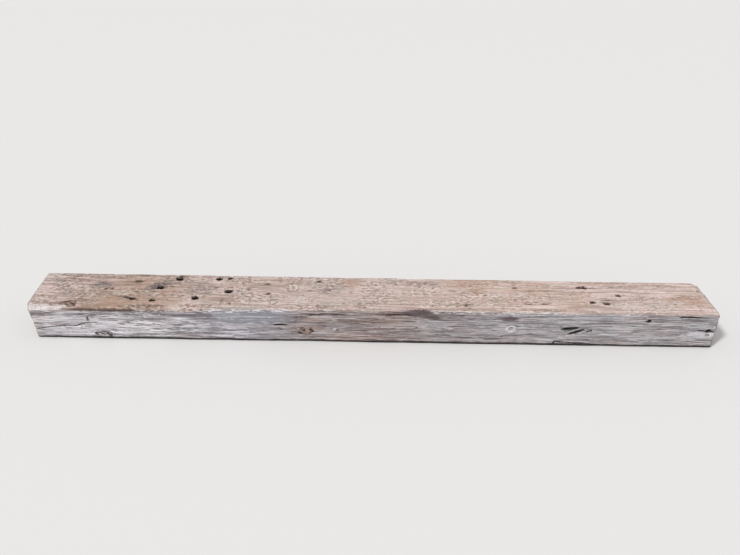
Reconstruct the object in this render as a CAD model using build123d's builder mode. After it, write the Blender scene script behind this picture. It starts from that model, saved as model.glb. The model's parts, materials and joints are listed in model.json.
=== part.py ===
from build123d import *
import os

os.makedirs("parts", exist_ok=True)

# A used railway sleeper of sawn timber, one piece, lying on its wide face.
# X runs along the timber, Y across it, Z up. The origin is the middle of the underside.
# All sizes in millimetres.

# Sawn beam, 9 in by 6 in, cut 2.6 m long (8 ft 6 in and a few millimetres over)
length = 2600.0
width = 229.0
height = 152.0

# Wear on the sawn edges: the four long arrises and the edges round the ends
arris_wear = 5.0
end_wear = 3.0

# The two ends are sawn out of square: how far each cut drifts along X, over a millimetre
# across the timber (skew) and over a millimetre of height (lean)
left_skew, left_lean = 0.074, 0.046
right_skew, right_lean = 0.006, 0.033

# Top corners knocked off the right end: side (-1 front, 1 back), and how far each
# goes along the timber, across it and down
knocked_corners = [
    (-1, 6.0, 26.0, 100.0),
    (1, 18.0, 24.0, 110.0),
]

# Front top arris, worn to a rounded bevel: even at first, then fading out along the timber.
# Both lengths are counted from the left end.
bevel_height = 25.0
bevel_depth = 12.0
bevel_bulge = 2.5
bevel_even_length = 400.0
bevel_full_length = 1060.0

# Standard-gauge track: the rails' running edges and the width of a rail's head
track_gauge = 1435.0
rail_head = 71.0
rail_centre = (track_gauge + rail_head) / 2

# Hole left by a pulled track spike: square shank, chisel-pointed foot, torn mouth
spike_side = 16.0
spike_depth = 118.0
foot_length = 24.0
foot_edge = 2.0
mouth_depth = 15.0
mouth_shear = 3.0

# Spike holes about each rail seat's centre: along, across, turn in degrees,
# and the torn mouth's length along the grain and width across it
left_spikes = [
    (-160.0, -58.0, 4.0, 25.0, 18.0),
    (-81.0, -69.0, -3.0, 27.0, 19.0),
    (-74.0, 18.0, 5.0, 30.0, 22.0),
    (-17.0, 84.0, -6.0, 32.0, 24.0),
    (76.0, -48.0, 3.0, 30.0, 23.0),
    (139.0, 88.0, -4.0, 29.0, 20.0),
    (183.0, 94.0, 2.0, 22.0, 18.0),
    (196.0, 0.0, 6.0, 34.0, 23.0),
]
right_spikes = [
    (84.0, 66.0, -3.0, 31.0, 21.0),
    (90.0, -36.0, 5.0, 26.0, 18.0),
    (142.0, -43.0, 2.0, 28.0, 19.0),
    (203.0, 13.0, -5.0, 24.0, 18.0),
]

# Drying checks open on the front face: path of points (along, up) from tip to tip,
# opening at its widest and depth into the timber. Along is counted from the middle
# of the timber or back from its right end, and up from the underside.
middle_checks = [
    ([(-253, 127), (-180, 130.5), (-81, 130)], 3.5, 22.0),
    ([(15, 130), (70, 131), (162, 133.5)], 3.5, 20.0),
    ([(691, 3), (699, 21), (760, 14), (877, 7)], 2.5, 16.0),
]
right_checks = [
    ([(164, 140), (115, 142), (65, 141)], 5.0, 30.0),
]

# Splits that run in from an end and open on the front face: the same, but from the
# inner tip to the end, where the split is widest, and with along counted from that end
left_split = [(273, 74), (220, 73), (179, 57), (133, 59), (0, 36)]
left_split_opening, left_split_depth = 4.0, 70.0
right_split = [(80, 84), (43, 79), (0, 75)]
right_split_opening, right_split_depth = 6.0, 40.0

# Gouges torn out of the front face: centre along and up, length, width, tilt in degrees
middle_gouges = [
    (-351.0, 77.5, 60.0, 7.0, -1.0),
    (-357.5, 59.0, 18.0, 4.0, 0.0),
    (750.0, 83.0, 78.0, 11.0, 9.0),
    (768.0, 64.0, 62.0, 9.0, -14.0),
    (824.0, 71.0, 26.0, 5.0, -38.0),
]
right_gouges = [
    (269.0, 122.0, 22.0, 8.0, 0.0),
    (34.0, 80.0, 20.0, 13.0, 0.0),
]

# Checks in the end grain that stay inside the section: the pith's place across and up,
# each arm's direction in degrees and its reach, the opening and the depth along X
pith_across, pith_up = 22.0, 66.0
left_arms = [(78.0, 52.0), (200.0, 66.0), (318.0, 50.0)]
right_arms = [(102.0, 55.0), (236.0, 48.0), (350.0, 60.0)]
arm_opening = 3.0
arm_depth = 70.0
arm_start = 10.0

# How far a cutting shape stands out of the face that it cuts
proud = 2.0

# How far each end reaches past the middle of its saw cut
left_reach = left_skew * width / 2 + left_lean * height / 2
right_reach = right_skew * width / 2 + right_lean * height / 2
overall = length + left_reach + right_reach

# Both ends reach equally far from the origin
left_limit, right_limit = -overall / 2, overall / 2
left_middle = left_limit + left_reach
right_middle = right_limit - right_reach


def left_end(across, up):
    """X of the left saw cut at a place in the section."""
    return left_middle - left_skew * across - left_lean * (up - height / 2)


def right_end(across, up):
    """X of the right saw cut at a place in the section."""
    return right_middle - right_skew * across - right_lean * (up - height / 2)


def spike_hole(mouth_long, mouth_wide):
    """Cutting shape of one spike hole, with the timber's top face at Z = 0."""
    shank = spike_depth - foot_length
    with BuildPart() as hole:
        with BuildSketch(Plane.XY.offset(-shank)):
            Rectangle(spike_side, spike_side)
        extrude(amount=shank)
        with BuildSketch(Plane.XY.offset(-shank)):
            Rectangle(spike_side, spike_side)
        with BuildSketch(Plane.XY.offset(-spike_depth)):
            Rectangle(spike_side, foot_edge)
        loft()
        with BuildSketch(Plane.XY.offset(-mouth_depth)):
            Rectangle(spike_side, spike_side)
        with BuildSketch(Plane.XY.offset(proud)):
            with BuildLine():
                Polyline(
                    (-mouth_long / 2, -mouth_wide / 2 + mouth_shear),
                    (mouth_long / 2, -mouth_wide / 2),
                    (mouth_long / 2, mouth_wide / 2 - mouth_shear),
                    (-mouth_long / 2, mouth_wide / 2),
                    close=True,
                )
            make_face()
        loft()
    return hole.part


def crack_outline(path, opening, open_end):
    """Thin outline round a path: pointed at its first point, and at its last unless open_end."""
    half = opening / 2
    widths = [half * step / (len(path) - 1) for step in range(len(path))]
    if not open_end:
        widths = [half] * len(path)
        widths[0] = widths[-1] = 0
    upper = [(x, z + w) for (x, z), w in zip(path, widths)]
    lower = [(x, z - w) for (x, z), w in zip(path, widths) if w > 0]
    return upper + lower[::-1]


def gouge_shape(long, wide):
    """Spindle along X, half of which is cut out of a face."""
    with BuildPart() as spindle:
        with BuildSketch():
            with BuildLine():
                ThreePointArc((-long / 2, 0), (0, wide / 2), (long / 2, 0))
                Line((long / 2, 0), (-long / 2, 0))
            make_face()
        revolve(axis=Axis.X)
    return spindle.part


def bevel_section(x, share):
    """Section that the worn arris lacks at x, as a share of its full size."""
    front, top = -width / 2, height
    low, inner = top - bevel_height * share, front + bevel_depth * share
    with BuildSketch(Plane.YZ.offset(x)) as section:
        with BuildLine():
            Line((front, low), (front - proud, low))
            Line((front - proud, low), (front - proud, top + proud))
            Line((front - proud, top + proud), (inner, top + proud))
            Line((inner, top + proud), (inner, top))
            ThreePointArc(
                (inner, top),
                ((front + inner) / 2 - bevel_bulge * share, (low + top) / 2 + bevel_bulge * share),
                (front, low),
            )
        make_face()
    return section.sketch


# Every crack in the front face as its outline (x, z) and its depth
cracks = [
    (crack_outline(path, opening, open_end=False), depth)
    for path, opening, depth in middle_checks
]
for path, opening, depth in right_checks:
    placed = [(right_limit - back, up) for back, up in path]
    cracks.append((crack_outline(placed, opening, open_end=False), depth))
placed = [(left_limit + back, up) for back, up in left_split]
cracks.append((crack_outline(placed, left_split_opening, open_end=True), left_split_depth))
placed = [(right_limit - back, up) for back, up in right_split]
cracks.append((crack_outline(placed, right_split_opening, open_end=True), right_split_depth))

gouges = middle_gouges + [(right_limit - back, *rest) for back, *rest in right_gouges]

front_plane = Plane.XZ.offset(width / 2 + proud)
bevel_last_share = 0.04

with BuildPart() as sleeper:
    # Sawn section with its worn arrises, longer than the timber until the ends are cut
    with BuildSketch(Plane.YZ):
        with Locations((0, height / 2)):
            RectangleRounded(width, height, arris_wear)
    extrude(amount=overall, both=True)

    # Out-of-square saw cuts
    split(bisect_by=Plane((left_middle, 0, height / 2), z_dir=(1, left_skew, left_lean)))
    split(bisect_by=Plane((right_middle, 0, height / 2), z_dir=(-1, -right_skew, -right_lean)))

    # Worn edges round both ends
    for end in (-1, 0):
        chamfer(sleeper.faces().sort_by(Axis.X)[end].edges(), length=end_wear)

    # Corners knocked off the right end, deepest at the top
    for side, along, across, down in knocked_corners:
        corner_y = side * width / 2
        split(
            bisect_by=Plane(
                (right_end(corner_y, height) - along, corner_y, height),
                z_dir=(-1 / along, -side / across, -1 / down),
            )
        )

    # Front top arris worn to a rounded bevel that fades out along the timber
    loft(
        [
            bevel_section(left_limit - proud, 1),
            bevel_section(left_limit + bevel_even_length, 1),
            bevel_section(left_limit + bevel_full_length, bevel_last_share),
        ],
        ruled=True,
        mode=Mode.SUBTRACT,
    )

    # Spike holes round the two rail seats
    for seat, spikes in ((-rail_centre, left_spikes), (rail_centre, right_spikes)):
        for along, across, turn, mouth_long, mouth_wide in spikes:
            with Locations((seat + along, across, height)):
                add(spike_hole(mouth_long, mouth_wide), rotation=(0, 0, turn), mode=Mode.SUBTRACT)

    # Drying checks and end splits in the front face
    for outline, depth in cracks:
        with BuildSketch(front_plane):
            with BuildLine():
                Polyline(*outline, close=True)
            make_face()
        extrude(amount=-depth - proud, mode=Mode.SUBTRACT)

    # Gouges in the front face
    for along, up, long, wide, tilt in gouges:
        with Locations((along, -width / 2, up)):
            add(gouge_shape(long, wide), rotation=(0, tilt, 0), clean=False, mode=Mode.SUBTRACT)

    # Star checks in the end grain, widest at the saw cut and closing inside the timber
    for end_x, inward, arms in (
        (left_end(pith_across, pith_up), 1, left_arms),
        (right_end(pith_across, pith_up), -1, right_arms),
    ):
        for direction, reach in arms:
            arm_plane = Plane(
                origin=(end_x, pith_across, pith_up),
                x_dir=(inward, 0, 0),
                z_dir=Vector(0, 1, 0).rotate(Axis.X, direction),
            )
            with BuildSketch(arm_plane):
                with BuildLine():
                    Polyline(
                        (-arm_start, arm_opening / 2),
                        (arm_depth, 0),
                        (-arm_start, -arm_opening / 2),
                        close=True,
                    )
                make_face()
            extrude(amount=reach, mode=Mode.SUBTRACT)

sleeper.part.label = "sleeper"
export_step(sleeper.part, "parts/sleeper.step")

print("overall length", round(overall, 1))
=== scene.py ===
import json
import math
import random
from functools import reduce

import bpy
import numpy as np
from mathutils import Matrix, Vector


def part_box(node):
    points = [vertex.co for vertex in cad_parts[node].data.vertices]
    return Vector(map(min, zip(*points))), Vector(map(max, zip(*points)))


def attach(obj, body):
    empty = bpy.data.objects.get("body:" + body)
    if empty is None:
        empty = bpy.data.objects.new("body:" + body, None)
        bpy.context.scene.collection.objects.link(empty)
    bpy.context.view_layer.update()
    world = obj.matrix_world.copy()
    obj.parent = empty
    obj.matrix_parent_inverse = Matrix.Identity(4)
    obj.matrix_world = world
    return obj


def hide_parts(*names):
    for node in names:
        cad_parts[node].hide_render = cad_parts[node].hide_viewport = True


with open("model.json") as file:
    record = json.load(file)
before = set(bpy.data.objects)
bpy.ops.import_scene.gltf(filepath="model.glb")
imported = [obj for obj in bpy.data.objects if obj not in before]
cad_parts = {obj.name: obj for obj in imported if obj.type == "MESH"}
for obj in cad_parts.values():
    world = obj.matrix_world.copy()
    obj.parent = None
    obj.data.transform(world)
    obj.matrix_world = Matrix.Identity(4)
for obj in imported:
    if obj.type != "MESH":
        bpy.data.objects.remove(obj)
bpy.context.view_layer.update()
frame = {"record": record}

# A used railway sleeper of sawn timber: tan and pitted on top, silver grey on its sides.
# Lengths in the formulas are in millimetres along the timber (x, from its middle),
# across it (y, the front is negative) and up from its underside (z). Objects are in metres.

MM = 0.001

# The sawn beam, from the frame
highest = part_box("sleeper")[1]
limit_x = highest.x / MM
half_width = highest.y / MM
height = highest.z / MM

# Saw cuts at the ends: drift along x over a millimetre across (skew) and up (lean)
left_skew, left_lean = 0.074, 0.046
right_skew, right_lean = 0.006, 0.033
left_middle = -limit_x + left_skew * half_width + left_lean * height / 2
right_middle = limit_x - right_skew * half_width - right_lean * height / 2

# Top corners knocked off the right end: side, and how far along, across and down
knocked_corners = [(-1, 6.0, 26.0, 100.0), (1, 18.0, 24.0, 110.0)]

# Pith of the tree that the beam was sawn from, and its mean growth ring
pith_y, pith_z = 22.0, 66.0
ring_gap = 7.0

# Worn edges: the arrises, the ends, and the bevel of the worn front arris as (x, drop)
arris_radius = 4.0
end_wear = 2.0
arris_drop = [(-1299, 25), (-1168, 23), (-906, 21), (-644, 16), (-382, 6), (-122, 0)]

# How far the bevel reaches over the top for each millimetre that it drops
bevel_slope = 12.0 / 25.0

# Spike holes: places from the frame, then each one's turn in degrees and its mouth's size
spike_places = [
    Vector(mount["pos_m"]) / MM
    for mount in frame["record"]["mounts"]
    if mount["name"].startswith("spike_hole")
]
spike_mouths = [
    (4.0, 25.0, 18.0),
    (-3.0, 25.0, 17.0),
    (5.0, 30.0, 22.0),
    (-6.0, 34.0, 25.0),
    (3.0, 31.0, 24.0),
    (-4.0, 29.0, 22.0),
    (2.0, 21.0, 18.0),
    (6.0, 36.0, 25.0),
    (-3.0, 28.0, 22.0),
    (5.0, 25.0, 18.0),
    (2.0, 26.0, 18.0),
    (-5.0, 20.0, 17.0),
]

# A hole's shank and depth, its chisel foot, its torn mouth's depth, and its mesh's sides
spike_side, spike_depth = 16.0, 116.0
foot_length, foot_edge = 24.0, 2.0
mouth_depth = 14.0
hole_sides = 12

# Drying checks and splits in the front face: path (x, z), opening, depth,
# and whether each end of the path stays open
front_checks = [
    ([(-1309, 36), (-1172, 59), (-1126, 57), (-1085, 73), (-1032, 74)], 4.0, 11.0, True, False),
    ([(-253, 127), (-180, 130.5), (-81, 130)], 5.0, 12.0, False, False),
    ([(15, 130), (70, 131), (162, 133.5)], 5.0, 10.0, False, False),
    ([(1141, 140), (1190, 142), (1242, 141)], 8.0, 14.0, False, False),
    ([(691, 3), (699, 21), (760, 14), (877, 7)], 5.0, 10.0, True, False),
    ([(1225, 84), (1262, 79), (1309, 75)], 7.0, 16.0, False, True),
]

# How far a crack wanders up and down about its path
crack_wander = 7.0

# Share of a crack's length over which a closed end tapers off
crack_tip_share = 0.2

# Star checks in the end grain: direction of each arm in degrees and its reach from the pith
left_arms = [(78.0, 52.0), (200.0, 66.0), (318.0, 50.0)]
right_arms = [(102.0, 55.0), (236.0, 48.0), (350.0, 60.0)]
arm_opening = 6.0

# Splits seen on the end faces: height, opening and how far they run in from the front
left_end_split = (36.0, 6.0, 70.0)
right_end_split = (75.0, 8.0, 40.0)

# Slits pressed into an end face: how deep, and how near the saw cut the skin is that moves
end_slit_depth = 14.0
end_skin = 5.0

# Gouges in the front face: middle x and z, half length, half width, turn in degrees.
# Each is gouge_steepness times its half width deep.
gouges = [
    (-351.0, 77.5, 33.0, 5.0, 0.0),
    (750.0, 80.0, 38.0, 8.5, 7.0),
    (774.0, 65.0, 38.0, 7.0, 22.0),
    (824.0, 71.0, 16.0, 4.0, 38.0),
    (1036.0, 122.0, 11.0, 6.0, 25.0),
    (1273.0, 79.0, 13.0, 9.0, 0.0),
]
gouge_steepness = 1.8

# Relief of the skin: sawn ridges and dents, and chips that get deeper towards the arrises
ridge_depth, dent_depth = 1.6, 2.0
chipped_band, chip_steepness = 16.0, 0.18

# Frayed saw cuts, and how far apart in the same noise the left and the right one are read
frayed_depth = 2.0
frayed_apart = 900.0

# Rows of the skin up the front, over the top, down the back and along the underside
rows_front, rows_top, rows_back, rows_under = 66, 88, 30, 22
rows = rows_front + rows_top + rows_back + rows_under

# Rings of the skin, those of them that close each end, and how they crowd near the ends
ring_count, cap_rings = 470, 16
closing_up = 0.05

# Vertices nearer to each other than this are merged
merging = 0.05

# Least width that anything is divided by
thinnest = 0.01

# Marks: middle x and y on top or x and z in front, half length, half width,
# turn in degrees and strength. They reach mark_thickness into the timber.
mark_thickness = 18.0
top_marks = {
    # Dark marks: partly dark stains, partly painted shade in small holes and pits
    "dark": [
        (-1128, 13, 7, 7, 0, 0.6),
        (-1150, -86, 20, 5, 20, 1.0),
        (-1124, -97, 14, 5, -30, 1.0),
        (-1168, -101, 12, 5, 0, 0.6),
        (-1035, 3, 8, 9, 0, 0.75),
        (-1011, 7, 9, 8, 0, 0.75),
        (-1047, 42, 19, 4, -40, 0.5),
        (-927, 60, 21, 9, 7, 0.75),
        (-926, -56, 32, 8, -20, 0.8),
        (-944, -47, 9, 8, 0, 0.6),
        (-768, -9, 6, 6, 0, 0.6),
        (-785, 26, 9, 6, 0, 0.5),
        (-908, 107, 6, 6, 0, 0.5),
        (-766, 99, 11, 7, 0, 0.9),
        (-780, -60, 8, 5, 0, 0.45),
        (-1198, -32, 8, 5, 0, 0.35),
        (-414, 55, 12, 7, 0, 0.85),
        (-404, -13, 12, 8, 26, 0.9),
        (-483, 17, 10, 11, 0, 0.6),
        (-465, 29, 16, 4, 18, 0.4),
        (-540, 30, 16, 4, 0, 0.35),
        (-571, -64, 7, 12, 0, 0.5),
        (-215, 81, 14, 7, 36, 0.75),
        (-249, 15, 9, 6, 0, 0.65),
        (-175, 21, 12, 6, 0, 0.5),
        (310, 30, 14, 6, 0, 0.6),
        (353, -68, 11, 9, 0, 0.7),
        (369, -60, 8, 5, 0, 0.55),
        (365, -90, 9, 5, 0, 0.45),
        (561, 56, 12, 7, 0, 0.7),
        (598, -55, 19, 6, 0, 0.6),
        (627, -43, 12, 5, 0, 0.55),
        (658, -51, 23, 7, 16, 0.7),
        (630, 37, 48, 4, 3, 0.45),
        (687, 13, 32, 8, -93, 0.35),
        (123, -40, 10, 7, 0, 0.4),
        (819, 65, 14, 8, 11, 1.0),
        (865, 63, 18, 6, 16, 0.55),
        (912, -20, 26, 4, 3, 0.5),
        (714, -91, 15, 5, 0, 0.5),
        (772, -85, 15, 4, 0, 0.4),
        (1243, -51, 6, 5, 0, 0.6),
        (1038, 80, 16, 5, 0, 0.3),
        (1074, 47, 16, 4, 0, 0.3),
        (1285, 51, 8, 9, 0, 0.45),
        (55, -23, 12, 7, 0, 0.35),
        (86, 13, 12, 6, 0, 0.3),
    ],
    "grey": [
        (-1059, 36, 35, 29, 0, 0.55),
        (-840, 30, 40, 24, 32, 0.5),
        (-1180, -21, 23, 14, 0, 0.45),
        (-1237, 58, 62, 7, 0, 0.4),
        (-377, -69, 17, 19, 0, 0.5),
        (-655, 19, 54, 35, 0, 0.3),
        (-168, 34, 70, 36, 0, 0.25),
        (-1073, -75, 37, 20, 0, 0.25),
        (196, 73, 56, 22, 0, 0.25),
        (1039, 5, 79, 21, 0, 0.2),
        (1060, -107, 180, 6, 0, 0.3),
    ],
    "cream": [
        (-281, -46, 21, 20, 0, 0.75),
        (-1282, 88, 39, 15, 0, 0.4),
        (581, 13, 12, 11, 0, 0.6),
        (482, 3, 20, 10, 0, 0.4),
        (981, -70, 38, 26, 0, 0.45),
        (1176, -28, 19, 8, 0, 0.6),
        (-490, -52, 15, 13, 0, 0.4),
        (-315, -20, 15, 10, 0, 0.4),
        (-124, -55, 38, 27, 0, 0.3),
        (-736, -112, 30, 10, 0, 0.5),
        (867, -24, 8, 7, 0, 0.5),
        (1091, -61, 54, 27, 0, 0.3),
        (-962, -22, 42, 13, 0, 0.35),
        (410, -107, 40, 6, 0, 0.4),
    ],
    "warm": [
        (-922, -78, 149, 46, 0, 0.6),
        (-885, 70, 71, 29, 0, 0.35),
        (-91, 72, 36, 29, 0, 0.6),
        (404, 29, 28, 21, 0, 0.5),
        (388, 86, 96, 37, 0, 0.45),
        (778, -23, 62, 55, 0, 0.3),
        (1217, -14, 70, 35, 0, 0.55),
        (1152, 94, 57, 12, 0, 0.35),
        (-544, 51, 31, 14, 0, 0.3),
        (622, 57, 80, 44, 0, 0.3),
        (893, 101, 73, 22, 0, 0.3),
        (-900, 0, 170, 60, 0, 0.3),
    ],
    "brown": [
        (-850, -104, 70, 7, 0, 0.5),
        (-760, 77, 60, 12, 0, 0.3),
        (630, -94, 70, 9, 0, 0.25),
    ],
    "violet": [
        (172, -112, 52, 12, 0, 0.8),
        (-838, 30, 42, 22, 30, 0.55),
    ],
}
front_marks = {
    # Dark marks: partly dark stains, partly painted shade in small holes, checks and gouges
    "dark": [
        (-1074, 93, 15, 5, -98, 0.8),
        (-907, 89, 13, 3, 0, 0.5),
        (-869, 89, 11, 3, 0, 0.45),
        (-889, 65, 13, 3, 0, 0.55),
        (-805, 65, 8, 4, -57, 0.65),
        (-705, 52, 11, 3, 0, 0.45),
        (-731, 54, 76, 2, 2, 0.45),
        (-351, 59, 10, 4, 0, 0.65),
        (-272, 114, 34, 4, 0, 0.6),
        (-238, 126, 37, 3, 0, 0.6),
        # Painted shadow cast by a nail head
        (-132, 59, 5, 5, 0, 0.9),
        (285, 44, 21, 4, 0, 0.5),
        (492, 40, 4, 5, 0, 0.85),
        (526, 43, 19, 3, 0, 0.35),
        (1019, 133, 11, 3, 0, 0.6),
        (1040, 121, 8, 5, 31, 0.95),
        (1188, 91, 56, 3, 5, 0.45),
        (1189, 72, 52, 3, 8, 0.4),
        (826, 71, 9, 4, 0, 0.5),
        (-1170, 59, 11, 4, 0, 0.7),
        # Painted shade along the front arris: under the step of the worn arris, then in the checks
        (-831, 131, 150, 4, 0, 0.35),
        (-84, 131, 105, 3, 0, 0.4),
        (84, 131, 82, 4, 0, 0.5),
        (-1286, 106, 11, 3, 0, 0.6),
        (694, 10, 10, 4, 75, 0.95),
        (708, 20, 10, 4, -10, 0.9),
        (-1006, 21, 15, 5, -62, 1.0),
        (-1053, 24, 7, 7, 0, 0.9),
        (-1031, 23, 7, 5, 0, 0.9),
        (-1020, 34, 10, 3, 20, 0.6),
        (-231, 56, 13, 5, -58, 1.25),
        (-260, 55, 6, 5, 0, 1.3),
        (-274, 43, 7, 5, 0, 1.0),
        # Painted shadow under the step of the worn arris at the left end
        (-990, 132, 165, 3, 0, 0.7),
        (-1263, 39, 15, 4, 0, 0.5),
    ],
    "grey": [
        (-1226, 120, 75, 7, 0, 0.6),
        (-1060, 112, 100, 9, 0, 0.8),
        (-930, 92, 120, 7, 0, 0.5),
        (-400, 62, 90, 8, 0, 0.45),
        (-890, 22, 70, 8, 0, 0.5),
        (-822, 98, 60, 6, 0, 0.6),
        (870, 38, 100, 9, 0, 0.45),
        (1200, 128, 70, 6, 0, 0.45),
        (-871, 119, 188, 13, 0, 0.62),
        (-647, 112, 49, 17, 0, 0.55),
        (-103, 79, 121, 19, 0, 0.45),
        (68, 44, 91, 24, 0, 0.3),
        (-303, 103, 26, 23, 0, 0.3),
        (365, 123, 97, 9, 0, 0.35),
        (-756, 18, 115, 15, 0, 0.25),
    ],
    "pale": [
        (-1132, 91, 53, 15, 0, 0.75),
        (-1175, 42, 84, 11, 0, 0.6),
        (-841, 78, 228, 6, 0, 0.35),
        (-961, 45, 92, 10, 0, 0.4),
        (-666, 81, 27, 5, 0, 0.6),
        (-654, 63, 46, 4, 0, 0.6),
        (-207, 43, 27, 5, 0, 0.5),
        (255, 95, 98, 7, 0, 0.35),
        (291, 107, 150, 3, 0, 0.4),
        (967, 50, 42, 5, 0, 0.6),
        (1108, 107, 37, 3, 0, 0.5),
        (1234, 62, 30, 9, 0, 1.3),
        (1290, 66, 13, 11, 0, 1.6),
        (1255, 52, 26, 5, 0, 1.2),
        (1113, 46, 46, 7, 0, 0.35),
        (687, 104, 75, 4, 0, 0.35),
        (361, 88, 60, 6, 0, 0.45),
        (640, 91, 60, 7, 0, 0.5),
        (850, 130, 90, 6, 0, 0.45),
        (-130, 118, 80, 7, 0, 0.3),
        (1292, 49, 15, 14, 0, 0.4),
        (532, 138, 112, 7, 0, 0.3),
        # Painted highlight on a nail head
        (-143, 63, 7, 5, 0, 1.0),
        (-252, 53, 5, 5, 0, 0.9),
        (-268, 44, 4, 3, 0, 0.8),
        (1014, 74, 53, 3, 0, 0.35),
        (560, 82, 26, 3, 9, 1.0),
        (507, 74, 4, 11, 0, 0.7),
        (512, 77, 4, 8, 0, 1.5),
        (539, 76, 5, 8, 0, 1.5),
        (526, 88, 9, 4, 0, 1.5),
        (525, 65, 9, 4, 0, 1.5),
        (1230, 70, 30, 5, 4, 1.5),
        (-85, 53, 114, 4, 0, 0.3),
    ],
    "brown": [
        (-1281, 112, 23, 5, 0, 0.6),
        (-1233, 110, 30, 5, 0, 0.55),
        (-1269, 60, 23, 7, 0, 0.6),
        (-85, 100, 128, 8, 0, 0.3),
        (-1030, 114, 60, 6, 0, 0.6),
        (266, 143, 30, 6, 0, 0.7),
        (781, 6, 92, 4, 0, 0.6),
        # Painted shadow, dark brown, under the step of the worn arris at the left end
        (-980, 134, 195, 5, 0, 0.9),
        (400, 149, 67, 5, 0, 0.3),
        (-734, 33, 54, 10, 0, 0.25),
    ],
    "violet": [
        (178, 138, 60, 15, -4, 1.0),
        (140, 141, 36, 9, 0, 0.8),
        (222, 126, 34, 10, -12, 1.0),
        (60, 133, 80, 3, 0, 0.8),
        (516, 124, 28, 10, 0, 1.0),
    ],
    "blue": [
        (-478, 113, 158, 30, 0, 0.8),
        (-372, 26, 138, 14, 0, 0.3),
        (-1226, 23, 46, 14, 0, 0.35),
    ],
}

# Knots: middle, half length, half width, and the colours of the rim and the heart
front_knots = [
    (-1026, 20, 31, 20, "umber", "silver"),
    (-256, 50, 25, 20, "umber", "straw"),
    (525, 76, 14, 13, "white", "grey"),
    (1272, 62, 14, 9, "white", "grey"),
]
top_knots = [
    (-1133, -94, 25, 16, "umber", "tan"),
    (-313, 36, 25, 29, "tan", "cream"),
    (-377, -69, 14, 16, "tan", "cream"),
    (388, 51, 9, 13, "brown", "cream"),
    (-570, 100, 15, 17, "brown", "cream"),
    (-250, -55, 11, 13, "tan", "cream"),
]

# The grain parts round a knot out to this many times its size
knot_reach = 2.4

# What the mesh stores as the distance of a knot where none is near
far_from_knots = 9.0

# Bright torn flecks along the front arris: x from, x to, strength
fleck_runs = [
    (-880, -760, 0.6),
    (-640, -300, 0.85),
    (-180, -150, 0.6),
    (230, 760, 0.75),
    (920, 1010, 0.6),
]

# Colours, as they look in plain light
tones = {
    # Black is painted shade inside the openings
    "black": (0.022, 0.016, 0.013, 1),
    "dark": (0.075, 0.055, 0.048, 1),
    "umber": (0.095, 0.062, 0.045, 1),
    "violet": (0.140, 0.102, 0.106, 1),
    "grey": (0.175, 0.150, 0.155, 1),
    "blue": (0.340, 0.345, 0.385, 1),
    "brown": (0.175, 0.120, 0.092, 1),
    "tan": (0.330, 0.230, 0.185, 1),
    "warm": (0.510, 0.335, 0.240, 1),
    "straw": (0.385, 0.285, 0.225, 1),
    "silver": (0.480, 0.450, 0.480, 1),
    "cream": (0.780, 0.700, 0.640, 1),
    "pale": (0.690, 0.665, 0.700, 1),
    "white": (0.910, 0.895, 0.920, 1),
    "chalk": (0.930, 0.880, 0.870, 1),
    # Painted contact shadow along the foot
    "foot_shadow": (0.035, 0.029, 0.026, 1),
    "end_dark": (0.150, 0.120, 0.105, 1),
    "end_light": (0.420, 0.360, 0.330, 1),
    "under_dark": (0.130, 0.095, 0.075, 1),
    "under_light": (0.300, 0.235, 0.195, 1),
}

# Tints that patches of the bare timber lean to
tints = {
    "rose": (1.035, 0.980, 0.985, 1),
    "straw": (0.985, 1.005, 0.985, 1),
    "slate": (0.970, 1.005, 1.025, 1),
}

# Order in which the stains lie over each other
surface_tones = ("warm", "blue", "brown", "grey", "violet", "cream", "pale")

# Colours of the faces along the timber: x, the dark streaks and the light ones
top_colours = [
    (-1300, (0.442, 0.333, 0.290, 1), (0.830, 0.688, 0.657, 1)),
    (-1000, (0.349, 0.252, 0.206, 1), (0.690, 0.542, 0.482, 1)),
    (-650, (0.444, 0.333, 0.285, 1), (0.821, 0.682, 0.637, 1)),
    (0, (0.500, 0.387, 0.338, 1), (0.850, 0.700, 0.651, 1)),
    (500, (0.534, 0.398, 0.339, 1), (0.894, 0.721, 0.663, 1)),
    (900, (0.490, 0.374, 0.331, 1), (0.846, 0.687, 0.644, 1)),
    (1300, (0.583, 0.440, 0.386, 1), (0.944, 0.776, 0.730, 1)),
]
side_colours = [
    (-1300, (0.410, 0.353, 0.348, 1), (0.890, 0.837, 0.827, 1)),
    (-1100, (0.585, 0.529, 0.578, 1), (1.000, 0.980, 0.985, 1)),
    (-850, (0.312, 0.264, 0.287, 1), (1.000, 0.990, 0.985, 1)),
    (-600, (0.206, 0.180, 0.192, 1), (0.801, 0.755, 0.816, 1)),
    (-400, (0.188, 0.167, 0.176, 1), (0.621, 0.576, 0.612, 1)),
    (-250, (0.164, 0.122, 0.118, 1), (0.572, 0.458, 0.419, 1)),
    (50, (0.149, 0.106, 0.097, 1), (0.551, 0.414, 0.365, 1)),
    (250, (0.169, 0.144, 0.146, 1), (0.525, 0.471, 0.475, 1)),
    (700, (0.209, 0.182, 0.185, 1), (0.646, 0.599, 0.606, 1)),
    (1300, (0.194, 0.171, 0.174, 1), (0.630, 0.596, 0.596, 1)),
]

# Stretches of x over which the streaks change: the top's from bold to calm and on to livelier,
# the sides' from bold to calm, and the top from rough and pitted to smoothly sawn
top_calms_down, top_livens_up = (-1150, -850), (400, 900)
sides_calm_down = (-900, -250)
top_turns_smooth, pits_thin_out = (300, 800), (350, 800)

# The same for the dark slits and the bleached lines of the sides, for the painted shade in the
# spike holes and the other openings, and for the dust in the openings of the front
slits_deepen, slits_fade, slits_return = (-1250, -950), (-800, -200), (400, 700)
bleaching_fades = (-900, -200)
holes_lighten, dust_gathers = (0, 400), (400, 700)

# Whitish strip on the worn arris at the left end: from where it starts to where it is full
strip_x, strip_y, strip_z = (-1110, -1215), (-99, -108), (124, 131)

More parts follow.
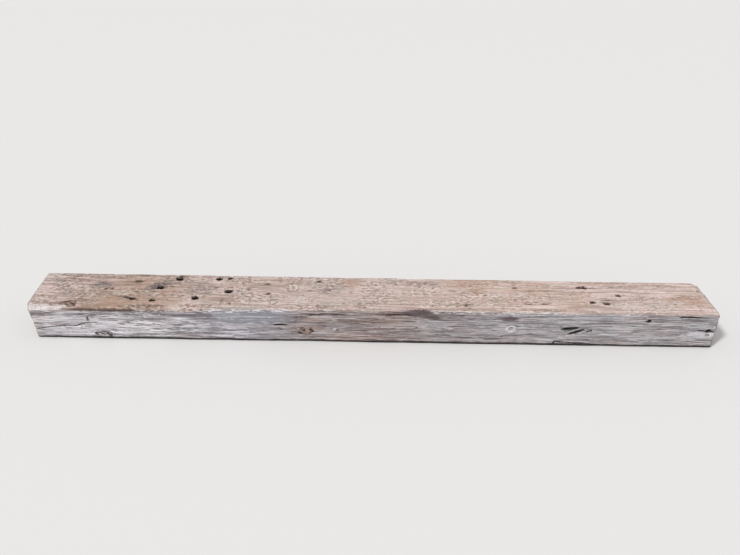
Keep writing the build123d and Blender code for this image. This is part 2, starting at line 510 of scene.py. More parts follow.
# Means of the summed noises that the streaks are made from
top_streak_mean, side_streak_mean = 0.69, 1.25

# How far inside the timber its underside counts as, so that its painted shade is half as dark as an
# opening's
underside_shade = 6.0


class Value:
    """A socket that can stand in a formula: each operator adds its Math node."""

    def __init__(self, graph, socket):
        self.graph = graph
        self.socket = socket

    def math(self, operation, *others):
        """A Math node on this value and the others."""
        values = dict(enumerate((self, *others)))
        return self.graph.node("ShaderNodeMath", {"operation": operation}, values)

    def __add__(self, other):
        return self.math("ADD", other)

    __radd__ = __add__

    def __sub__(self, other):
        return self.math("SUBTRACT", other)

    def __rsub__(self, other):
        return self * -1 + other

    def __mul__(self, other):
        return self.math("MULTIPLY", other)

    __rmul__ = __mul__

    def __truediv__(self, other):
        return self.math("DIVIDE", other)

    def __abs__(self):
        return self.math("ABSOLUTE")

    def least(self, other):
        return self.math("MINIMUM", other)

    def most(self, other):
        return self.math("MAXIMUM", other)

    def floor(self):
        return self.math("FLOOR")

    def sine(self):
        return self.math("SINE")

    def root(self):
        return self.math("SQRT")

    def ramp(self, start, end, first=0.0, last=1.0):
        """first up to start, last past end, and an even slope between them."""
        if start > end:
            start, end, first, last = end, start, last, first
        return self.graph.node(
            "ShaderNodeMapRange",
            {"clamp": True},
            {"Value": self, "From Min": start, "From Max": end, "To Min": first, "To Max": last},
        )


class Graph:
    """A node tree that formulas are written into."""

    def __init__(self, tree):
        self.tree = tree

    def node(self, kind, settings=None, values=None, output=0):
        """Adds a node: its settings first, then the values or links of its sockets."""
        made = self.tree.nodes.new(kind)
        for name, setting in (settings or {}).items():
            if name == "stops":
                self.set_stops(made.color_ramp, setting)
            else:
                setattr(made, name, setting)
        for key, value in (values or {}).items():
            self.feed(made.inputs[key], value)
        return Value(self, made.outputs[output])

    def feed(self, socket, value):
        """Links a socket to a value of the graph, or sets it to a plain one."""
        if isinstance(value, Value):
            self.tree.links.new(value.socket, socket)
        else:
            socket.default_value = value

    @staticmethod
    def set_stops(ramp, stops):
        while len(ramp.elements) > 1:
            ramp.elements.remove(ramp.elements[-1])
        for place, (position, colour) in enumerate(stops):
            stop = ramp.elements[0] if place == 0 else ramp.elements.new(position)
            stop.position = position
            stop.color = colour

    def vector(self, x, y, z):
        return self.node("ShaderNodeCombineXYZ", None, {"X": x, "Y": y, "Z": z})

    def parts(self, vector):
        """The x, y and z of a vector."""
        return [
            self.node("ShaderNodeSeparateXYZ", None, {0: vector}, output) for output in range(3)
        ]

    def vector_math(self, operation, *values, output="Vector"):
        settings = {"operation": operation}
        return self.node("ShaderNodeVectorMath", settings, dict(enumerate(values)), output)

    def scaled(self, vector, factor):
        values = {"Vector": vector, "Scale": factor}
        return self.node("ShaderNodeVectorMath", {"operation": "SCALE"}, values)

    def length(self, vector):
        return self.vector_math("LENGTH", vector, output="Value")

    def blend(self, factor, first, second):
        """Colour that goes from first to second as factor goes from 0 to 1."""
        return self.node(
            "ShaderNodeMix",
            {"data_type": "RGBA", "clamp_factor": True},
            {0: factor, 6: first, 7: second},
            2,
        )

    def noise(self, place, size, seed, detail=2.0, rough=0.55, output=0):
        """Noise from 0 to 1, whose blotches are about size (x, y, z) millimetres."""
        moved = self.vector_math(
            "MULTIPLY_ADD", place, tuple(1 / way for way in size), (seed, seed * 1.7, seed * 0.6)
        )
        return self.node(
            "ShaderNodeTexNoise",
            {"noise_dimensions": "3D"},
            {"Vector": moved, "Scale": 1.0, "Detail": detail, "Roughness": rough},
            output,
        )

    def hairs(self, place, size, seed, half):
        """Thin wandering lines, where a noise lies within half of its middle."""
        return abs(self.noise(place, size, seed, 1.0, 0.5) - 0.5).ramp(half, 0.01)

    def stirred(self, place, size, reach, seed):
        """The place moved about by reach (x, y, z), so that what is drawn there has torn edges."""
        colour = self.noise(place, size, seed, 2.0, 0.6, "Color")
        shift = self.vector_math("SUBTRACT", colour, (0.5, 0.5, 0.5))
        return self.vector_math("MULTIPLY_ADD", shift, tuple(2 * way for way in reach), place)


def path_height(value, path):
    """Second coordinate of a path of points, at a value of the first."""
    height_here = path[0][1]
    for (x0, z0), (x1, z1) in zip(path, path[1:]):
        height_here = value.ramp(x0, x1, 0.0, z1 - z0) + height_here
    return height_here


def cut_distances(x, y, z):
    """How far along x a place is inside the left saw cut, and inside the right one."""
    from_middle = z - height / 2
    from_left = x - left_middle + y * left_skew + from_middle * left_lean
    from_right = right_middle - x - y * right_skew - from_middle * right_lean
    return from_left, from_right


def corner_distances(x, y, z):
    """How far along x a place is inside each corner knocked off the right end."""
    distances = []
    for side, along, across, down in knocked_corners:
        corner_y = side * half_width
        corner_x = right_middle - right_skew * corner_y - right_lean * height / 2
        past = (
            (x - corner_x + along) * (1 / along)
            + (y - corner_y) * (side / across)
            + (z - height) * (1 / down)
        )
        distances.append(past * -along)
    return distances


def section_place(row, width, tall, radius):
    """Where a row lies on the section, which has rounded arrises."""
    turns = [0, rows_front, rows_front + rows_top, rows - rows_under, rows]
    up_front, over_top, down_back, underneath = [
        row.ramp(start, end) for start, end in zip(turns, turns[1:])
    ]
    y_square = (over_top - underneath - 0.5) * width
    z_square = (up_front - down_back) * tall
    inner_y = y_square.most(radius - width / 2).least(width / 2 - radius)
    inner_z = z_square.most(radius).least(tall - radius)
    out_y, out_z = y_square - inner_y, z_square - inner_z
    reach = (out_y * out_y + out_z * out_z).root().most(thinnest)
    return inner_y + out_y * radius / reach, inner_z + out_z * radius / reach


def bevelled_place(x, y, z):
    """The place moved back onto the bevel of the worn front arris, where it lies beyond it."""
    steep = 1 / bevel_slope
    beyond = (y * -1 - half_width) * steep + z - height + path_height(x, arris_drop)
    beyond = beyond.most(0.0) * (1 / (1 + steep**2))
    return y + beyond * steep, z - beyond


def sawn_skin(graph, count, width, tall, radius):
    """The beam as sawn: one skin, from the pith at the left end to the pith at the right one."""
    grid = graph.node(
        "GeometryNodeMeshGrid",
        None,
        {"Size X": 1.0, "Size Y": 1.0, "Vertices X": count, "Vertices Y": rows + 1},
    )

    # Which ring and which row a vertex is in; the small share makes up for rounding
    index = graph.node("GeometryNodeInputIndex")
    ring = (index / (rows + 1) + 1e-4).floor()
    row = index - ring * (rows + 1)
    y, z = section_place(row, width, tall, radius)

    # Caps close towards the pith at both ends, from an edge that is worn in a little
    last = count - 1
    from_end = ring.least(last - ring)
    worn_in = 1 - from_end.ramp(cap_rings, cap_rings + 1, end_wear / height, 0.0)
    share = (from_end / cap_rings).least(1.0) * worn_in
    y = (y - pith_y) * share + pith_y
    z = (z - pith_z) * share + pith_z

    # Stations along the timber, between two saw cuts that are frayed in different ways
    even = ((ring - cap_rings) / (last - 2 * cap_rings)).most(0.0).least(1.0)
    station = even - (even * (2 * math.pi)).sine() * closing_up
    frayed = graph.noise(graph.vector(station * frayed_apart, y, z), (300, 9, 16), 2.7, 3.0, 0.6)
    frayed = frayed.ramp(0.38, 0.72, 0.0, frayed_depth)
    from_left, from_right = cut_distances(ring * 0, y, z)
    from_right = reduce(Value.least, [from_right, *corner_distances(ring * 0, y, z)])
    x = (from_left * -1 + frayed) * (1 - station) + (from_right - frayed) * station

    y, z = bevelled_place(x, y, z)
    shaped = graph.node(
        "GeometryNodeSetPosition",
        None,
        {"Geometry": grid, "Position": graph.scaled(graph.vector(x, y, z), MM)},
    )
    return graph.node(
        "GeometryNodeMergeByDistance", None, {"Geometry": shaped, "Distance": merging * MM}
    )


def crack_profile(x, z, wander, path, opening, open_start, open_end):
    """1 along the middle of a crack, falling to 0 at its lips."""
    start, end = path[0][0], path[-1][0]
    fade = (end - start) * crack_tip_share
    middle = path_height(x, path) + wander
    half = opening / 2
    width = half
    if not open_start:
        width = x.ramp(start, start + fade, 0.0, half)
    if not open_end:
        width = x.ramp(end - fade, end, 1.0, 0.0) * width
    inside = x.ramp(start - 1, start)
    return (1 - abs(z - middle) / (width + thinnest)).most(0.0) * inside


def gouge_distance(graph, place, along, up, long, wide, turn):
    """Distance from the middle of an ellipse on the front face, 1 at its rim."""
    middle, shrink = (along, 0, up), (1 / long, 0, 1 / wide)
    turned = graph.node(
        "ShaderNodeVectorRotate",
        {"rotation_type": "Y_AXIS"},
        {"Vector": place, "Center": middle, "Angle": math.radians(turn)},
    )
    offset = tuple(-centre * factor for centre, factor in zip(middle, shrink))
    return graph.length(graph.vector_math("MULTIPLY_ADD", turned, shrink, offset))


def front_wear(graph, x, z, place):
    """How deep the checks, splits and gouges of the front face go, in millimetres."""
    wander = (graph.noise(place, (60.0, 400.0, 400.0), 3.1) - 0.5) * crack_wander
    depths = [
        crack_profile(x, z, wander, path, opening, open_start, open_end) * depth
        for path, opening, depth, open_start, open_end in front_checks
    ]
    torn = graph.stirred(place, (14.0, 9.0, 9.0), (4.0, 3.0, 3.0), 6.1)
    for gouge in gouges:
        wide = gouge[3]
        depths.append(gouge_distance(graph, torn, *gouge).ramp(1.1, 0.2) * (wide * gouge_steepness))
    return reduce(Value.most, depths)


def relief_depth(graph, place, y, z):
    """Depth of the sawn ridges and dents, and of the chips along the arrises."""
    ridges = graph.noise(place, (260.0, 8.0, 8.0), 1.3, 4.0, 0.6).ramp(0.35, 0.7)
    dents = graph.noise(place, (160.0, 50.0, 50.0), 5.2, 3.0, 0.5).ramp(0.4, 0.75)
    chips = graph.noise(place, (40.0, 14.0, 14.0), 7.9, 3.0, 0.6).ramp(0.55, 0.8)
    near_side = (abs(y) - half_width + chipped_band).most(0.0)
    near_face = (abs(z - height / 2) - height / 2 + chipped_band).most(0.0)
    near_arris = near_side.least(near_face)
    return ridges * ridge_depth + dents * dent_depth + chips * near_arris * chip_steepness


def timber_tree():
    """Geometry Nodes tree of the whole beam: the sawn skin, its wear and its spike holes."""
    tree = bpy.data.node_groups.new("sawn timber", "GeometryNodeTree")
    sockets = tree.interface
    for name, kind in (
        ("Rings", "NodeSocketInt"),
        ("Width", "NodeSocketFloat"),
        ("Height", "NodeSocketFloat"),
        ("Arris radius", "NodeSocketFloat"),
        ("Grain relief", "NodeSocketFloat"),
        ("Spike holes", "NodeSocketObject"),
        ("Material", "NodeSocketMaterial"),
    ):
        sockets.new_socket(name, in_out="INPUT", socket_type=kind)
    sockets.new_socket("Geometry", in_out="OUTPUT", socket_type="NodeSocketGeometry")
    graph = Graph(tree)
    given = tree.nodes.new("NodeGroupInput")
    count, width, tall, radius, relief, holes, material = [
        Value(graph, socket) for socket in given.outputs[:7]
    ]
    skin = sawn_skin(graph, count, width, tall, radius)

    # Wear, pushed in along the surface's own normal
    place = graph.scaled(graph.node("GeometryNodeInputPosition"), 1 / MM)
    x, y, z = graph.parts(place)
    normal = graph.node("GeometryNodeInputNormal")
    on_front = graph.parts(normal)[1].ramp(-0.5, -0.85)
    wear = front_wear(graph, x, z, place) * on_front
    push = (wear + relief_depth(graph, place, y, z) * relief) * -MM
    noted = graph.node(
        "GeometryNodeStoreNamedAttribute",
        {"data_type": "FLOAT", "domain": "POINT"},
        {"Geometry": skin, "Name": "broken", "Value": wear},
    )
    worn = graph.node(
        "GeometryNodeSetPosition", None, {"Geometry": noted, "Offset": graph.scaled(normal, push)}
    )

    # Spike holes cut out of the top
    cutter = graph.node("GeometryNodeObjectInfo", None, {"Object": holes}, "Geometry")
    pierced = graph.node(
        "GeometryNodeMeshBoolean",
        {"operation": "DIFFERENCE", "solver": "MANIFOLD"},
        {0: worn, 1: cutter},
    )
    smooth = graph.node("GeometryNodeSetShadeSmooth", None, {"Geometry": pierced})
    real = graph.node("GeometryNodeRealizeInstances", None, {"Geometry": smooth})
    dressed = graph.node("GeometryNodeSetMaterial", None, {"Geometry": real, "Material": material})
    out = tree.nodes.new("NodeGroupOutput")
    graph.feed(out.inputs["Geometry"], dressed)
    return tree


def placed(name, data):
    """New object at the origin of the scene."""
    made = bpy.data.objects.new(name, data)
    bpy.context.scene.collection.objects.link(made)
    return made


def grown(name, tree, values):
    """Plain mesh object from a Geometry Nodes tree, with its named inputs set."""
    seed = placed(name + " seed", bpy.data.meshes.new(name + " seed"))
    nodes = seed.modifiers.new("nodes", "NODES")
    nodes.node_group = tree
    for socket in tree.interface.items_tree:
        if socket.name in values:
            nodes[socket.identifier] = values[socket.name]
    ready = seed.evaluated_get(bpy.context.evaluated_depsgraph_get())
    mesh = bpy.data.meshes.new_from_object(ready)
    bpy.data.objects.remove(seed)
    mesh.name = name
    return placed(name, mesh)


def spike_cutters():
    """Shape of all the spike holes in one mesh: square shank, chisel foot and torn mouth."""
    chance = random.Random(5)
    angles = [math.radians(15 + 360 / hole_sides * side) for side in range(hole_sides)]
    square = [1 / max(abs(math.cos(angle)), abs(math.sin(angle))) for angle in angles]
    vertices, faces = [], []
    for (turn, mouth_long, mouth_wide), place in zip(spike_mouths, spike_places):
        torn = [chance.uniform(0.72, 1.3) * (0.5 + 0.5 * reach) for reach in square]
        levels = [
            (4.0, mouth_long * 1.05, mouth_wide * 1.05, torn),
            (-3.0, mouth_long * 0.9, mouth_wide * 0.92, torn),
            (-mouth_depth, spike_side, spike_side, square),
            (foot_length - spike_depth, spike_side, spike_side, square),
            (-spike_depth, spike_side, foot_edge, square),
        ]
        first = len(vertices)
        rotation = Matrix.Rotation(math.radians(turn), 3, "Z")
        for up, long, wide, reaches in levels:
            for angle, reach in zip(angles, reaches):
                corner = Vector((math.cos(angle) * long, math.sin(angle) * wide, 0)) * reach / 2
                vertices.append((rotation @ corner + place + Vector((0, 0, up))) * MM)
        faces.append([first + side for side in range(hole_sides)])
        bottom = first + hole_sides * (len(levels) - 1)
        faces.append([bottom + side for side in reversed(range(hole_sides))])
        for ring in range(first, bottom, hole_sides):
            for side in range(hole_sides):
                here, beside = ring + side, ring + (side + 1) % hole_sides
                faces.append([here, here + hole_sides, beside + hole_sides, beside])
    mesh = bpy.data.meshes.new("spike hole shapes")
    mesh.from_pydata(vertices, [], faces)
    return placed("spike hole shapes", mesh)


def vertex_places(mesh):
    """Places of all vertices in millimetres, one row each."""
    points = np.empty(len(mesh.vertices) * 3)
    mesh.vertices.foreach_get("co", points)
    return points.reshape(-1, 3) / MM


def end_slits(y, z, arms, split):
    """Each slit of an end face: places along it and across it, its opening and its reach."""
    split_z, split_opening, split_reach = split
    slits = [(y + half_width, z - split_z, split_opening, split_reach)]
    for direction, reach in arms:
        cosine, sine = math.cos(math.radians(direction)), math.sin(math.radians(direction))
        along = (y - pith_y) * cosine + (z - pith_z) * sine
        across = (z - pith_z) * cosine - (y - pith_y) * sine
        slits.append((along, across, arm_opening, reach))
    return slits


def open_end_grain(piece):
    """Presses the star checks and the ends of the splits into both end faces."""
    points = vertex_places(piece.data)
    x, y, z = points.T
    from_left, from_right = cut_distances(x, y, z)
    pressed = np.zeros(len(points))
    for from_cut, inward, arms, split in (
        (from_left, 1, left_arms, left_end_split),
        (from_right, -1, right_arms, right_end_split),
    ):
        on_end = from_cut < end_skin
        for along, across, opening, reach in end_slits(y, z, arms, split):
            half = opening / 2 * np.clip(1 - along / reach, 0, 1)
            share = np.clip(1 - np.abs(across) / (half + thinnest), 0, 1) * (along > -1) * on_end
            depth = share * end_slit_depth
            pressed = np.where(depth > np.abs(pressed), depth * inward, pressed)
    points[:, 0] += pressed
    piece.data.vertices.foreach_set("co", np.ravel(points * MM))
    piece.data.update()


def ellipse_distances(points, face, along, other, long, wide, turn=0.0):
    """Distance of every point from the middle of an ellipse on the top or front, 1 at its rim."""
    lengthwise = points[:, 0] - along
    if face == "top":
        crosswise, outward = points[:, 1] - other, points[:, 2] - height
    else:
        crosswise, outward = points[:, 2] - other, points[:, 1] + half_width
    cosine, sine = math.cos(math.radians(turn)), math.sin(math.radians(turn))
    return np.sqrt(
        ((lengthwise * cosine + crosswise * sine) / long) ** 2
        + ((crosswise * cosine - lengthwise * sine) / wide) ** 2
        + (outward / mark_thickness) ** 2
    )


def mark_strengths(points, tone):
    """Strength of the strongest mark of a tone at every point, fading past its rim."""
    strongest = np.zeros(len(points))
    for face, marks in (("top", top_marks), ("front", front_marks)):
        for *shape, strength in marks.get(tone, []):
            here = strength * np.clip(1.6 - ellipse_distances(points, face, *shape), 0, 1)
            strongest = np.maximum(strongest, here)
    return strongest


def note(mesh, name, values, kind="FLOAT", field="value"):
    """Stores a value for each vertex, under the name by which the material reads it."""
    mesh.attributes.new(name, kind, "POINT").data.foreach_set(field, np.ravel(values))


def note_edges(mesh, points):
    """Stores which face each vertex is on, and how far in from the ends and from every face."""
    x, y, z = points.T
    from_side = half_width - np.abs(y)
    in_front = np.clip(-y / 10, 0, 1)
    drop = np.interp(x, *zip(*arris_drop)) * in_front
    from_end = np.minimum.reduce([*cut_distances(x, y, z), *corner_distances(x, y, z)])
    steep = 1 / bevel_slope
    from_bevel = (height - z - drop + (y + half_width) * steep) / math.hypot(1, steep)
    from_under = z + underside_shade
    inside = np.minimum.reduce([height - z, from_side, from_under, from_end, from_bevel])

    # Below 0 on top and above 0 on the sides
    note(mesh, "to_top", height - z - drop - from_side)
    note(mesh, "from_end", from_end)
    note(mesh, "inside", inside)


def note_marks(mesh, points):
    """Stores the strength of the marks of each tone, and of the stains round the spike holes and
    the painted shade in their mouths.
    """
    for tone in surface_tones + ("dark",):
        note(mesh, tone, mark_strengths(points, tone))
    mouth = np.zeros(len(points))
    for spike, (turn, long, wide) in zip(spike_places, spike_mouths):
        far = ellipse_distances(points, "top", spike.x, spike.y, long / 2, wide / 2, turn)
        mouth = np.maximum(mouth, np.clip(2.0 - far, 0, 1.6))
    note(mesh, "mouth", mouth)


def note_knots(mesh, points):
    """Stores the nearest knot's distance and colours, and a grain whose lines part round it."""
    grain = points.copy()
    nearest = np.full(len(points), far_from_knots)
    rim, heart = (np.tile(tones["tan"], (len(points), 1)) for _ in range(2))
    for face, knots in (("top", top_knots), ("front", front_knots)):
        for along, other, long, wide, rim_tone, heart_tone in knots:
            far = ellipse_distances(points, face, along, other, long, wide)
            middle = (along, other, height) if face == "top" else (along, -half_width, other)
            pull = np.clip(1 - far / knot_reach, 0, 0.9) * 0.9
            grain[:, 1] -= (points[:, 1] - middle[1]) * pull
            grain[:, 2] -= (points[:, 2] - middle[2]) * pull
            own = far < nearest
            nearest[own] = far[own]
            rim[own], heart[own] = tones[rim_tone], tones[heart_tone]
    note(mesh, "grain", grain, "FLOAT_VECTOR", "vector")
    note(mesh, "knot", nearest)
    note(mesh, "knot_rim", rim, "FLOAT_COLOR", "color")
    note(mesh, "knot_heart", heart, "FLOAT_COLOR", "color")


def growth(graph, grain):
    """Growth rings about the pith, from 0 in early wood to 1 in late wood."""
    off_pith = graph.vector_math("MULTIPLY_ADD", grain, (0, 1, 1), (0, -pith_y, -pith_z))
    uneven = graph.noise(grain, (700.0, 90.0, 90.0), 4.4, 2.0)
    turns = (graph.length(off_pith) + uneven * 40) * (2 * math.pi / ring_gap)
    return turns.sine() * 0.5 + 0.5


class Wood:
    """What the layers of the timber's colour share: its places, its faces and its noises."""

    def __init__(self, graph):
        self.graph = graph
        coordinates = graph.node("ShaderNodeTexCoord", None, None, "Object")
        self.place = graph.scaled(coordinates, 1 / MM)
        self.x, self.y, self.z = graph.parts(self.place)
        self.torn = graph.stirred(self.place, (13.0, 8.0, 8.0), (5.0, 3.0, 3.0), 6.1)
        parted = self.stored("grain", "Vector")
        self.grain = graph.stirred(parted, (300.0, 130.0, 130.0), (0.0, 10.0, 10.0), 8.3)

        # Which face this is, with uneven borders
        wobble = (graph.noise(self.place, (45.0, 9.0, 9.0), 1.9) - 0.5) * 9
        self.from_side = half_width - abs(self.y)
        self.to_top = self.stored("to_top")
        self.top = (self.to_top + wobble).ramp(1.2, -1.2)
        self.side = 1 - self.top
        self.under = (self.z + wobble * 0.4 - self.from_side.least(4.0)).ramp(1.5, -1.5)
        self.end = (self.stored("from_end") + wobble * 0.3).ramp(6.0, 2.0)

        # Where dust has blown into the openings, at the right of the front, their painted shade is
        # less black
        self.dusty = 1 - self.side * self.x.ramp(*dust_gathers, 0.0, 0.25)

        # Noises drawn out along the grain, from wide bands to fibres
        self.broad = graph.noise(self.grain, (380.0, 45.0, 45.0), 0.7)
        self.streaks = graph.noise(self.grain, (150.0, 10.0, 10.0), 1.3, 3.0, 0.6)
        self.sawn = graph.noise(self.grain, (230.0, 6.8, 6.8), 13.1, 2.0, 0.6)
        self.lines = graph.noise(self.grain, (170.0, 3.0, 3.0), 3.7, 2.0, 0.6)
        self.fibres = graph.noise(self.grain, (70.0, 1.6, 1.6), 2.2, 3.0, 0.6)
        self.rings = growth(graph, self.grain)

        # Noises about as long as wide, and where the top is rough and pitted
        self.dashes = graph.noise(self.torn, (17.0, 9.0, 9.0), 5.5, 2.0, 0.6)
        self.crumbs = graph.noise(self.torn, (12.0, 8.0, 8.0), 4.2, 2.0, 0.6) - 0.5
        self.patches = graph.noise(self.torn, (34.0, 14.0, 14.0), 2.9, 3.0, 0.6) - 0.5
        rough = graph.noise(self.place, (150.0, 60.0, 60.0), 10.4, 2.0).ramp(0.41, 0.60, 0.15, 1.15)
        self.rough = rough * self.x.ramp(*pits_thin_out, 1.0, 0.6)
        self.pits = self.specks(self.torn, (17.0, 8.0, 8.0), 9.1, 0.57, 0.66)

    def stored(self, name, output="Fac"):
        """What the mesh stores under a name."""
        return self.graph.node("ShaderNodeAttribute", {"attribute_name": name}, None, output)

    def specks(self, place, size, seed, start, end):
        """Small spots on the rough parts of the top."""
        return self.graph.noise(place, size, seed, 1.0).ramp(start, end) * (self.rough * self.top)


def along_colours(wood, colours, share):
    """Colour of a face that changes along the timber, from its dark streaks to its light ones."""
    along = wood.x.ramp(-limit_x, limit_x)
    pair = []
    for tone in (1, 2):
        stops = [((stop[0] + limit_x) / (2 * limit_x), stop[tone]) for stop in colours]
        pair.append(wood.graph.node("ShaderNodeValToRGB", {"stops": stops}, {0: along}))
    return wood.graph.blend(share, *pair)


def bare_wood(wood):
    """Streaked timber, tan on top and silver grey on its sides."""
    graph, x = wood.graph, wood.x
    top_streak = (
        wood.broad * 0.35
        + wood.streaks * 0.6
        + wood.sawn * x.ramp(*top_turns_smooth, 0.4, 0.9)
        + wood.fibres * 0.2
        + (wood.dashes - 0.5) * wood.rough * 1.2
        - x.ramp(*top_turns_smooth, 0.09, 0.34)
    )
    side_streak = (
        wood.broad * 0.25
        + wood.sawn * 0.1
        + wood.lines * 1.5
        + wood.fibres * 0.35
        + wood.rings * 0.1
        + wood.dashes * 0.2
    )
    top_contrast = x.ramp(*top_calms_down, 2.5, 1.15) * x.ramp(*top_livens_up, 1.0, 1.3)
    side_contrast = x.ramp(*sides_calm_down, 1.6, 1.0)
    top_share = ((top_streak - top_streak_mean) * top_contrast).ramp(-0.14, 0.14)
    side_share = ((side_streak - side_streak_mean) * side_contrast).ramp(-0.125, 0.12)
    top_colour = along_colours(wood, top_colours, top_share)
    side_colour = along_colours(wood, side_colours, side_share)
    colour = graph.blend(wood.top, side_colour, top_colour)

    # Patches that lean to rose and to straw on top, to rose and to slate on the sides
    hue = graph.noise(wood.grain, (90.0, 34.0, 34.0), 12.3, 3.0, 0.6)
    cool = graph.blend(wood.top, tints["slate"], tints["straw"])
    tint = graph.blend(hue.ramp(0.38, 0.60), tints["rose"], cool)
    return graph.vector_math("MULTIPLY", colour, tint)


def stained(wood, colour):
    """Stains of every tone, and the whitish strip on the worn arris at the left end."""
    graph = wood.graph
    uneven = wood.patches * 0.9 + wood.crumbs * wood.top * 1.4
    uneven = uneven + (wood.lines - 0.5) * wood.side * 1.6
    for tone in surface_tones:
        mark = wood.stored(tone)
        shown = (mark + uneven).ramp(0.05, 0.85) * mark.ramp(0.0, 0.15)
        colour = graph.blend(shown, colour, tones[tone])
    strip = wood.x.ramp(*strip_x) * wood.y.ramp(*strip_y) * wood.z.ramp(*strip_z)
    frayed = strip + wood.patches + wood.crumbs * 1.5 + (wood.lines - 0.5) * 1.5
    chalky = frayed.ramp(0.2, 0.9, 0.0, 0.92) * strip.ramp(0, 0.1)
    return graph.blend(chalky, colour, tones["chalk"])


def marred(wood, colour):
    """Pits and torn light fibres on top, fine dark lines and bleached ones on the sides."""
    graph, x = wood.graph, wood.x
    splinters = wood.specks(wood.torn, (20.0, 8.0, 8.0), 7.3, 0.55, 0.66)
    dirt = wood.specks(wood.place, (9.0, 7.0, 7.0), 4.9, 0.62, 0.69)
    threads = graph.noise(wood.grain, (75.0, 5.5, 5.5), 11.7, 2.0, 0.6).ramp(0.60, 0.68) * wood.top
    ragged = graph.stirred(wood.grain, (24.0, 14.0, 14.0), (6.0, 2.5, 2.5), 9.4)
    slits = graph.hairs(ragged, (240.0, 8.0, 8.0), 6.6, 0.055) * wood.side
    slits = slits * (1 - wood.stored("blue") * 0.8)
    bleached = graph.hairs(ragged, (200.0, 8.0, 8.0), 8.8, 0.060) * wood.side
    bleached = bleached * (1 - wood.stored("violet") * 0.75)
    slit_strength = x.ramp(*slits_deepen, 0.6, 0.85) * x.ramp(*slits_fade, 1.0, 0.4)
    slit_strength = slit_strength + x.ramp(*slits_return, 0.0, 0.15)
    for share, tone in (
        (splinters * 0.5, "cream"),
        (bleached * x.ramp(*bleaching_fades, 0.75, 0.35), "white"),
        (threads * 0.35, "brown"),
        (wood.pits * 0.5, "brown"),
        (dirt * 0.4, "umber"),
        (slits * slit_strength, "grey"),
    ):
        colour = graph.blend(share, colour, tones[tone])
    return colour


def flecked(wood, colour):
    """Bright flecks torn up along the front arris."""
    x = wood.x
    flecks = wood.graph.noise(wood.torn, (24.0, 4.5, 4.5), 3.3, 1.0).ramp(0.52, 0.60)
    at_arris = abs(wood.to_top).ramp(13, 5) * wood.y.ramp(0, -10) * wood.from_side.ramp(12, 6)
    runs = [
        x.ramp(start - 20, start, 0.0, strength) * x.ramp(stop, stop + 20, 1.0, 0.0)
        for start, stop, strength in fleck_runs
    ]
    return wood.graph.blend(flecks * at_arris * reduce(Value.most, runs), colour, tones["white"])


def knotted(wood, colour):
    """Knots: a heart with whorls in it, and a broken rim."""
    graph, crumbs, patches = wood.graph, wood.crumbs, wood.patches
    knot = wood.stored("knot") + patches * 0.6 + crumbs * 0.5
    rim_colour, heart_colour = wood.stored("knot_rim", "Color"), wood.stored("knot_heart", "Color")
    whorl = ((knot + patches * 1.3) * 10).sine().ramp(0.0, 0.6)
    body = graph.blend(whorl * 0.85, heart_colour, rim_colour)
    colour = graph.blend(knot.ramp(1.0, 0.8, 0.0, 0.75), colour, body)
    rim = knot.ramp(0.7, 0.85) * knot.ramp(1.10, 0.98) * (crumbs - patches).ramp(-0.06, 0.1)
    return graph.blend(rim * 0.9, colour, rim_colour)


def broken_open(wood, colour):
    """Stained mouths of the spike holes with painted shade inside them, dark marks that are partly
    painted shade, and painted shade in the checks, splits and gouges.
    """
    graph, crumbs = wood.graph, wood.crumbs
    mouth = wood.stored("mouth") + crumbs * 0.8
    # Painted shade inside the mouths of the spike holes, lighter at the right
    lip = mouth.ramp(1.02, 1.14, 0.0, 0.95) * wood.x.ramp(*holes_lighten, 1.0, 0.75)
    dark_tone = graph.blend(wood.top, tones["dark"], tones["umber"])
    # Painted shade in the checks, splits and gouges, by their depth
    broken = (wood.stored("broken") + crumbs * 1.5).ramp(1.5, 4.5)
    colour = graph.blend(mouth.ramp(0.80, 1.0, 0.0, 0.6), colour, tones["brown"])
    colour = graph.blend(lip, colour, tones["black"])
    # Dark marks, partly stains and partly painted shade in small holes and pits
    colour = graph.blend((wood.stored("dark") + crumbs * 1.3).ramp(0.25, 0.85), colour, dark_tone)
    return graph.blend(broken * wood.dusty, colour, tones["black"])


def ends_and_underside(wood, colour):
    """End grain with its growth rings, and the plain brown underside."""
    graph = wood.graph
    end_streak = wood.rings * 0.35 + graph.noise(wood.place, (20.0, 6.0, 6.0), 5.9, 3.0, 0.6) * 1.1
    end_colour = graph.blend(end_streak.ramp(0.3, 1.0), tones["end_dark"], tones["end_light"])
    under_streak = wood.streaks.ramp(0.35, 0.65)
    under_colour = graph.blend(under_streak, tones["under_dark"], tones["under_light"])
    colour = graph.blend(wood.end, colour, end_colour)
    return graph.blend(wood.under, colour, under_colour)


def painted_shade(wood, colour):
    """Painted contact shadow along the foot, and painted shade inside every opening and on the
    underside.
    """
    graph = wood.graph
    # Painted contact shadow along the foot, weaker away from the front
    foot = (wood.z + graph.noise(wood.place, (60.0, 30.0, 30.0), 6.9) * 10).ramp(20, 13)
    foot = foot * wood.y.ramp(-95, -112, 0.6, 0.97)
    # Painted shade inside every opening and on the underside, lighter at the right
    inside = wood.stored("inside").ramp(3.0, 9.0) * wood.x.ramp(*holes_lighten, 1.0, 0.85)
    colour = graph.blend(foot, colour, tones["foot_shadow"])
    return graph.blend(inside * wood.dusty, colour, tones["black"])


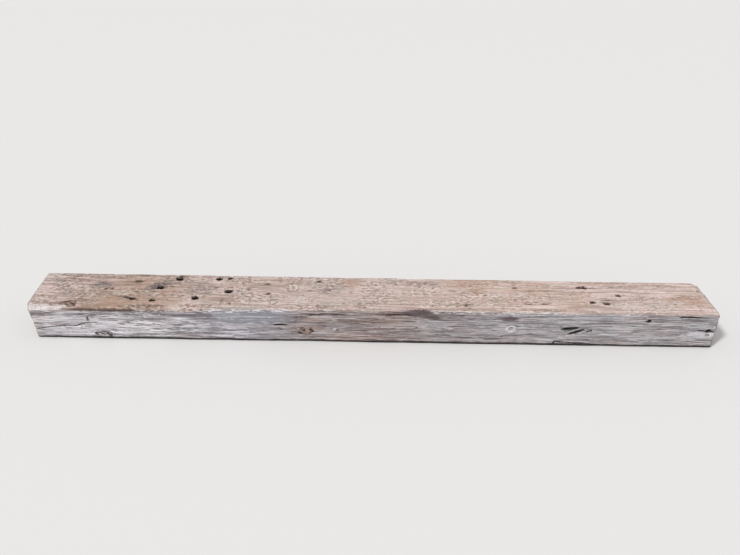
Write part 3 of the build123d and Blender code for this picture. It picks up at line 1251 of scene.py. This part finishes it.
def timber_material():
    """Weathered timber, read from the object's own coordinates."""
    material = bpy.data.materials.new("weathered timber")
    material.use_nodes = True
    tree = material.node_tree
    tree.nodes.clear()
    graph = Graph(tree)
    wood = Wood(graph)
    colour = bare_wood(wood)
    for layer in (stained, marred, flecked, knotted, broken_open, ends_and_underside, painted_shade):
        colour = layer(wood, colour)

    surface = tree.nodes.new("ShaderNodeBsdfPrincipled")
    surface.inputs["Roughness"].default_value = 0.88
    surface.inputs["Specular IOR Level"].default_value = 0.2
    graph.feed(surface.inputs["Base Color"], colour)
    relief = wood.streaks * 0.9 + wood.lines * 0.5 + wood.fibres * 0.7
    relief = relief + wood.dashes * 0.5 + wood.rings * 0.15 - wood.pits * 0.5
    values = {"Strength": 0.8, "Distance": 0.006, "Height": relief}
    graph.feed(surface.inputs["Normal"], graph.node("ShaderNodeBump", None, values))
    out = tree.nodes.new("ShaderNodeOutputMaterial")
    tree.links.new(surface.outputs[0], out.inputs["Surface"])
    return material


def plain_material(name, colour):
    """One even matt colour, for the floor."""
    material = bpy.data.materials.new(name)
    material.use_nodes = True
    surface = material.node_tree.nodes["Principled BSDF"]
    surface.inputs["Base Color"].default_value = colour
    surface.inputs["Roughness"].default_value = 0.9
    return material


# The beam
cutters = spike_cutters()
timber = grown(
    "timber",
    timber_tree(),
    {
        "Rings": ring_count,
        "Width": 2 * half_width,
        "Height": height,
        "Arris radius": arris_radius,
        "Grain relief": 1.0,
        "Spike holes": cutters,
        "Material": timber_material(),
    },
)
bpy.data.objects.remove(cutters)
open_end_grain(timber)
surface_points = vertex_places(timber.data)
for note_layer in (note_edges, note_marks, note_knots):
    note_layer(timber.data, surface_points)
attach(timber, "root")
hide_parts("sleeper")

# Pale floor, out to the horizon
floor_half = 60.0
floor_colour = (0.80, 0.79, 0.78, 1)
floor_mesh = bpy.data.meshes.new("floor")
floor_mesh.from_pydata(
    [(x * floor_half, y * floor_half, 0) for x, y in ((-1, -1), (1, -1), (1, 1), (-1, 1))],
    [],
    [(0, 1, 2, 3)],
)
floor_mesh.materials.append(plain_material("pale floor", floor_colour))
floor = placed("floor", floor_mesh)

# Soft key light from the front left
key_strength = 2.0
key_softness = math.radians(8)
key_from = Vector((-110, -80, 152))
key_light = bpy.data.lights.new("key", "SUN")
key_light.energy = key_strength
key_light.angle = key_softness
placed("key", key_light).rotation_euler = key_from.to_track_quat("Z", "Y").to_euler()

# Even sky, which the camera sees as white
sky_strength = 0.55
world = bpy.data.worlds.new("sky")
world.use_nodes = True
sky = Graph(world.node_tree)
background = world.node_tree.nodes["Background"]
background.inputs["Color"].default_value = (1.0, 1.0, 1.0, 1.0)
seen = sky.node("ShaderNodeLightPath", None, None, "Is Camera Ray")
sky.feed(background.inputs["Strength"], seen * (1.0 - sky_strength) + sky_strength)
bpy.context.scene.world = world

# Camera at the photograph's place, in millimetres and degrees
photo_width = 740
focal_pixels = 613.0
camera_place = Vector((-16.0, -1975.0, 1475.0))
camera_yaw, camera_pitch, camera_roll = map(math.radians, (-0.12, 32.33, 0.99))
lens = bpy.data.cameras.new("camera")
lens.sensor_width = 36.0
lens.lens = lens.sensor_width * focal_pixels / photo_width
lens.clip_end = 200
camera = placed("camera", lens)
camera_turn = (
    Matrix.Rotation(camera_yaw, 4, "Z")
    @ Matrix.Rotation(math.pi / 2 - camera_pitch, 4, "X")
    @ Matrix.Rotation(camera_roll, 4, "Z")
)
camera.matrix_world = Matrix.Translation(camera_place * MM) @ camera_turn
bpy.context.scene.camera = camera

bpy.context.scene.view_settings.view_transform = "Standard"
